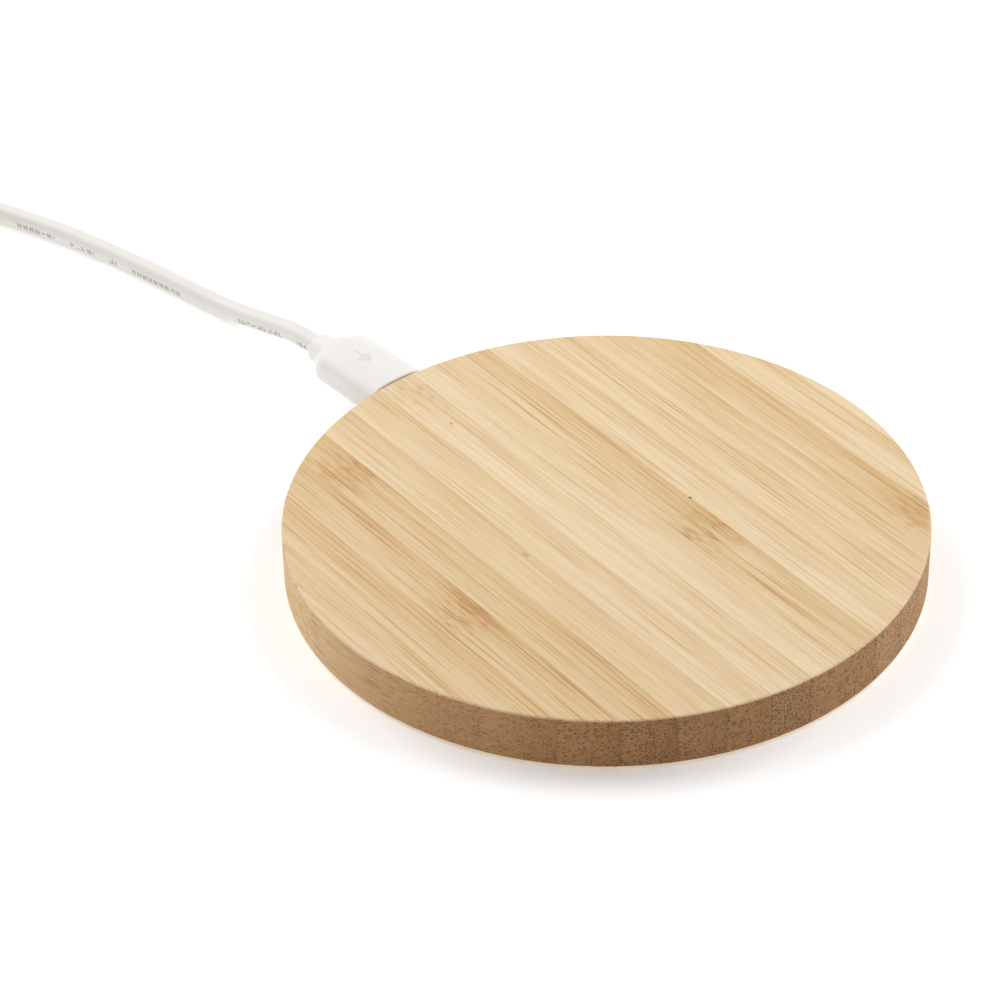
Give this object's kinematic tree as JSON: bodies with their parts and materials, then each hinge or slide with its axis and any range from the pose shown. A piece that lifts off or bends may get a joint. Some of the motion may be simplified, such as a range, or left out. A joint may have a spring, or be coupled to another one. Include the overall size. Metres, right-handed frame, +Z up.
{
  "type": "wireless charging pad",
  "caption": "Round strip-bamboo wireless charging pad with a milled-out body, rubber feet and a white plug-in cable coiled and tied at its far end.",
  "frame": {"origin": "middle of the pad where its feet stand on the table", "axes": "+Z up out of the charging face, +Y out of the charging port"},
  "size_m": [0.1603, 0.2347, 0.0093],
  "materials": {
    "bamboo": "fine-grained strip bamboo, sanded and lightly oiled, satin",
    "cover_plastic": "fine-textured white plastic",
    "screw_steel": "zinc-plated steel",
    "label_film": "plain satin sticker film",
    "board_green": "green solder-masked glass-fibre board",
    "chip_black": "black moulded epoxy",
    "ceramic_tan": "tan ceramic with tinned ends",
    "ferrite_black": "pressed black ferrite",
    "lamp_white": "white lamp body",
    "clear_plastic": "clear polycarbonate",
    "plug_steel": "nickel-plated folded steel",
    "insulator_black": "black glass-filled plastic",
    "insulator_white": "white glass-filled plastic",
    "contact_gold": "gold-flashed contact",
    "coil_copper": "enamelled stranded copper wire",
    "tape_white": "double-sided tape",
    "white_moulding": "soft white moulded elastomer, satin",
    "white_jacket": "smooth white cable jacket",
    "tie_grey": "soft hook-and-loop strap",
    "rubber_grey": "soft grey silicone rubber"
  },
  "bodies": {
    "pad": {"bamboo_body": "bamboo", "board_screws": "screw_steel", "bottom_cover": "cover_plastic", "bypass_capacitors": "ceramic_tan", "circuit_board": "board_green", "coil_lead_inner": "coil_copper", "coil_lead_outer": "coil_copper", "coil_tape": "tape_white", "controller_chip": "chip_black", "cover_screws": "screw_steel", "driver_chips": "chip_black", "ferrite_shield": "ferrite_black", "filter_inductor": "ferrite_black", "foot_back_left": "rubber_grey", "foot_back_right": "rubber_grey", "foot_front_left": "rubber_grey", "foot_front_right": "rubber_grey", "indicator_lamp": "lamp_white", "input_capacitors": "ceramic_tan", "light_pipe": "clear_plastic", "port_contacts": "contact_gold", "port_shell": "plug_steel", "port_tongue": "insulator_black", "rating_label": "label_film", "resistors": "chip_black", "resonant_capacitors": "ceramic_tan", "transmit_coil": "coil_copper"},
    "cable": {"plug_overmould": "white_moulding", "plug_shell": "plug_steel", "plug_insulator": "insulator_black", "plug_contacts": "contact_gold", "plug_latches": "plug_steel", "cord": "white_jacket", "cord_coil": "white_jacket", "coil_tie": "tie_grey", "cord_tail": "white_jacket", "supply_plug_overmould": "white_moulding", "supply_plug_shell": "plug_steel", "supply_plug_insulator": "insulator_white", "supply_plug_contacts": "contact_gold"}
  },
  "joints": [
    {"name": "plug_pull", "type": "slide", "parent": "pad", "child": "cable", "axis": [0, 1, 0], "range_m": [0, 0.02]}
  ]
}
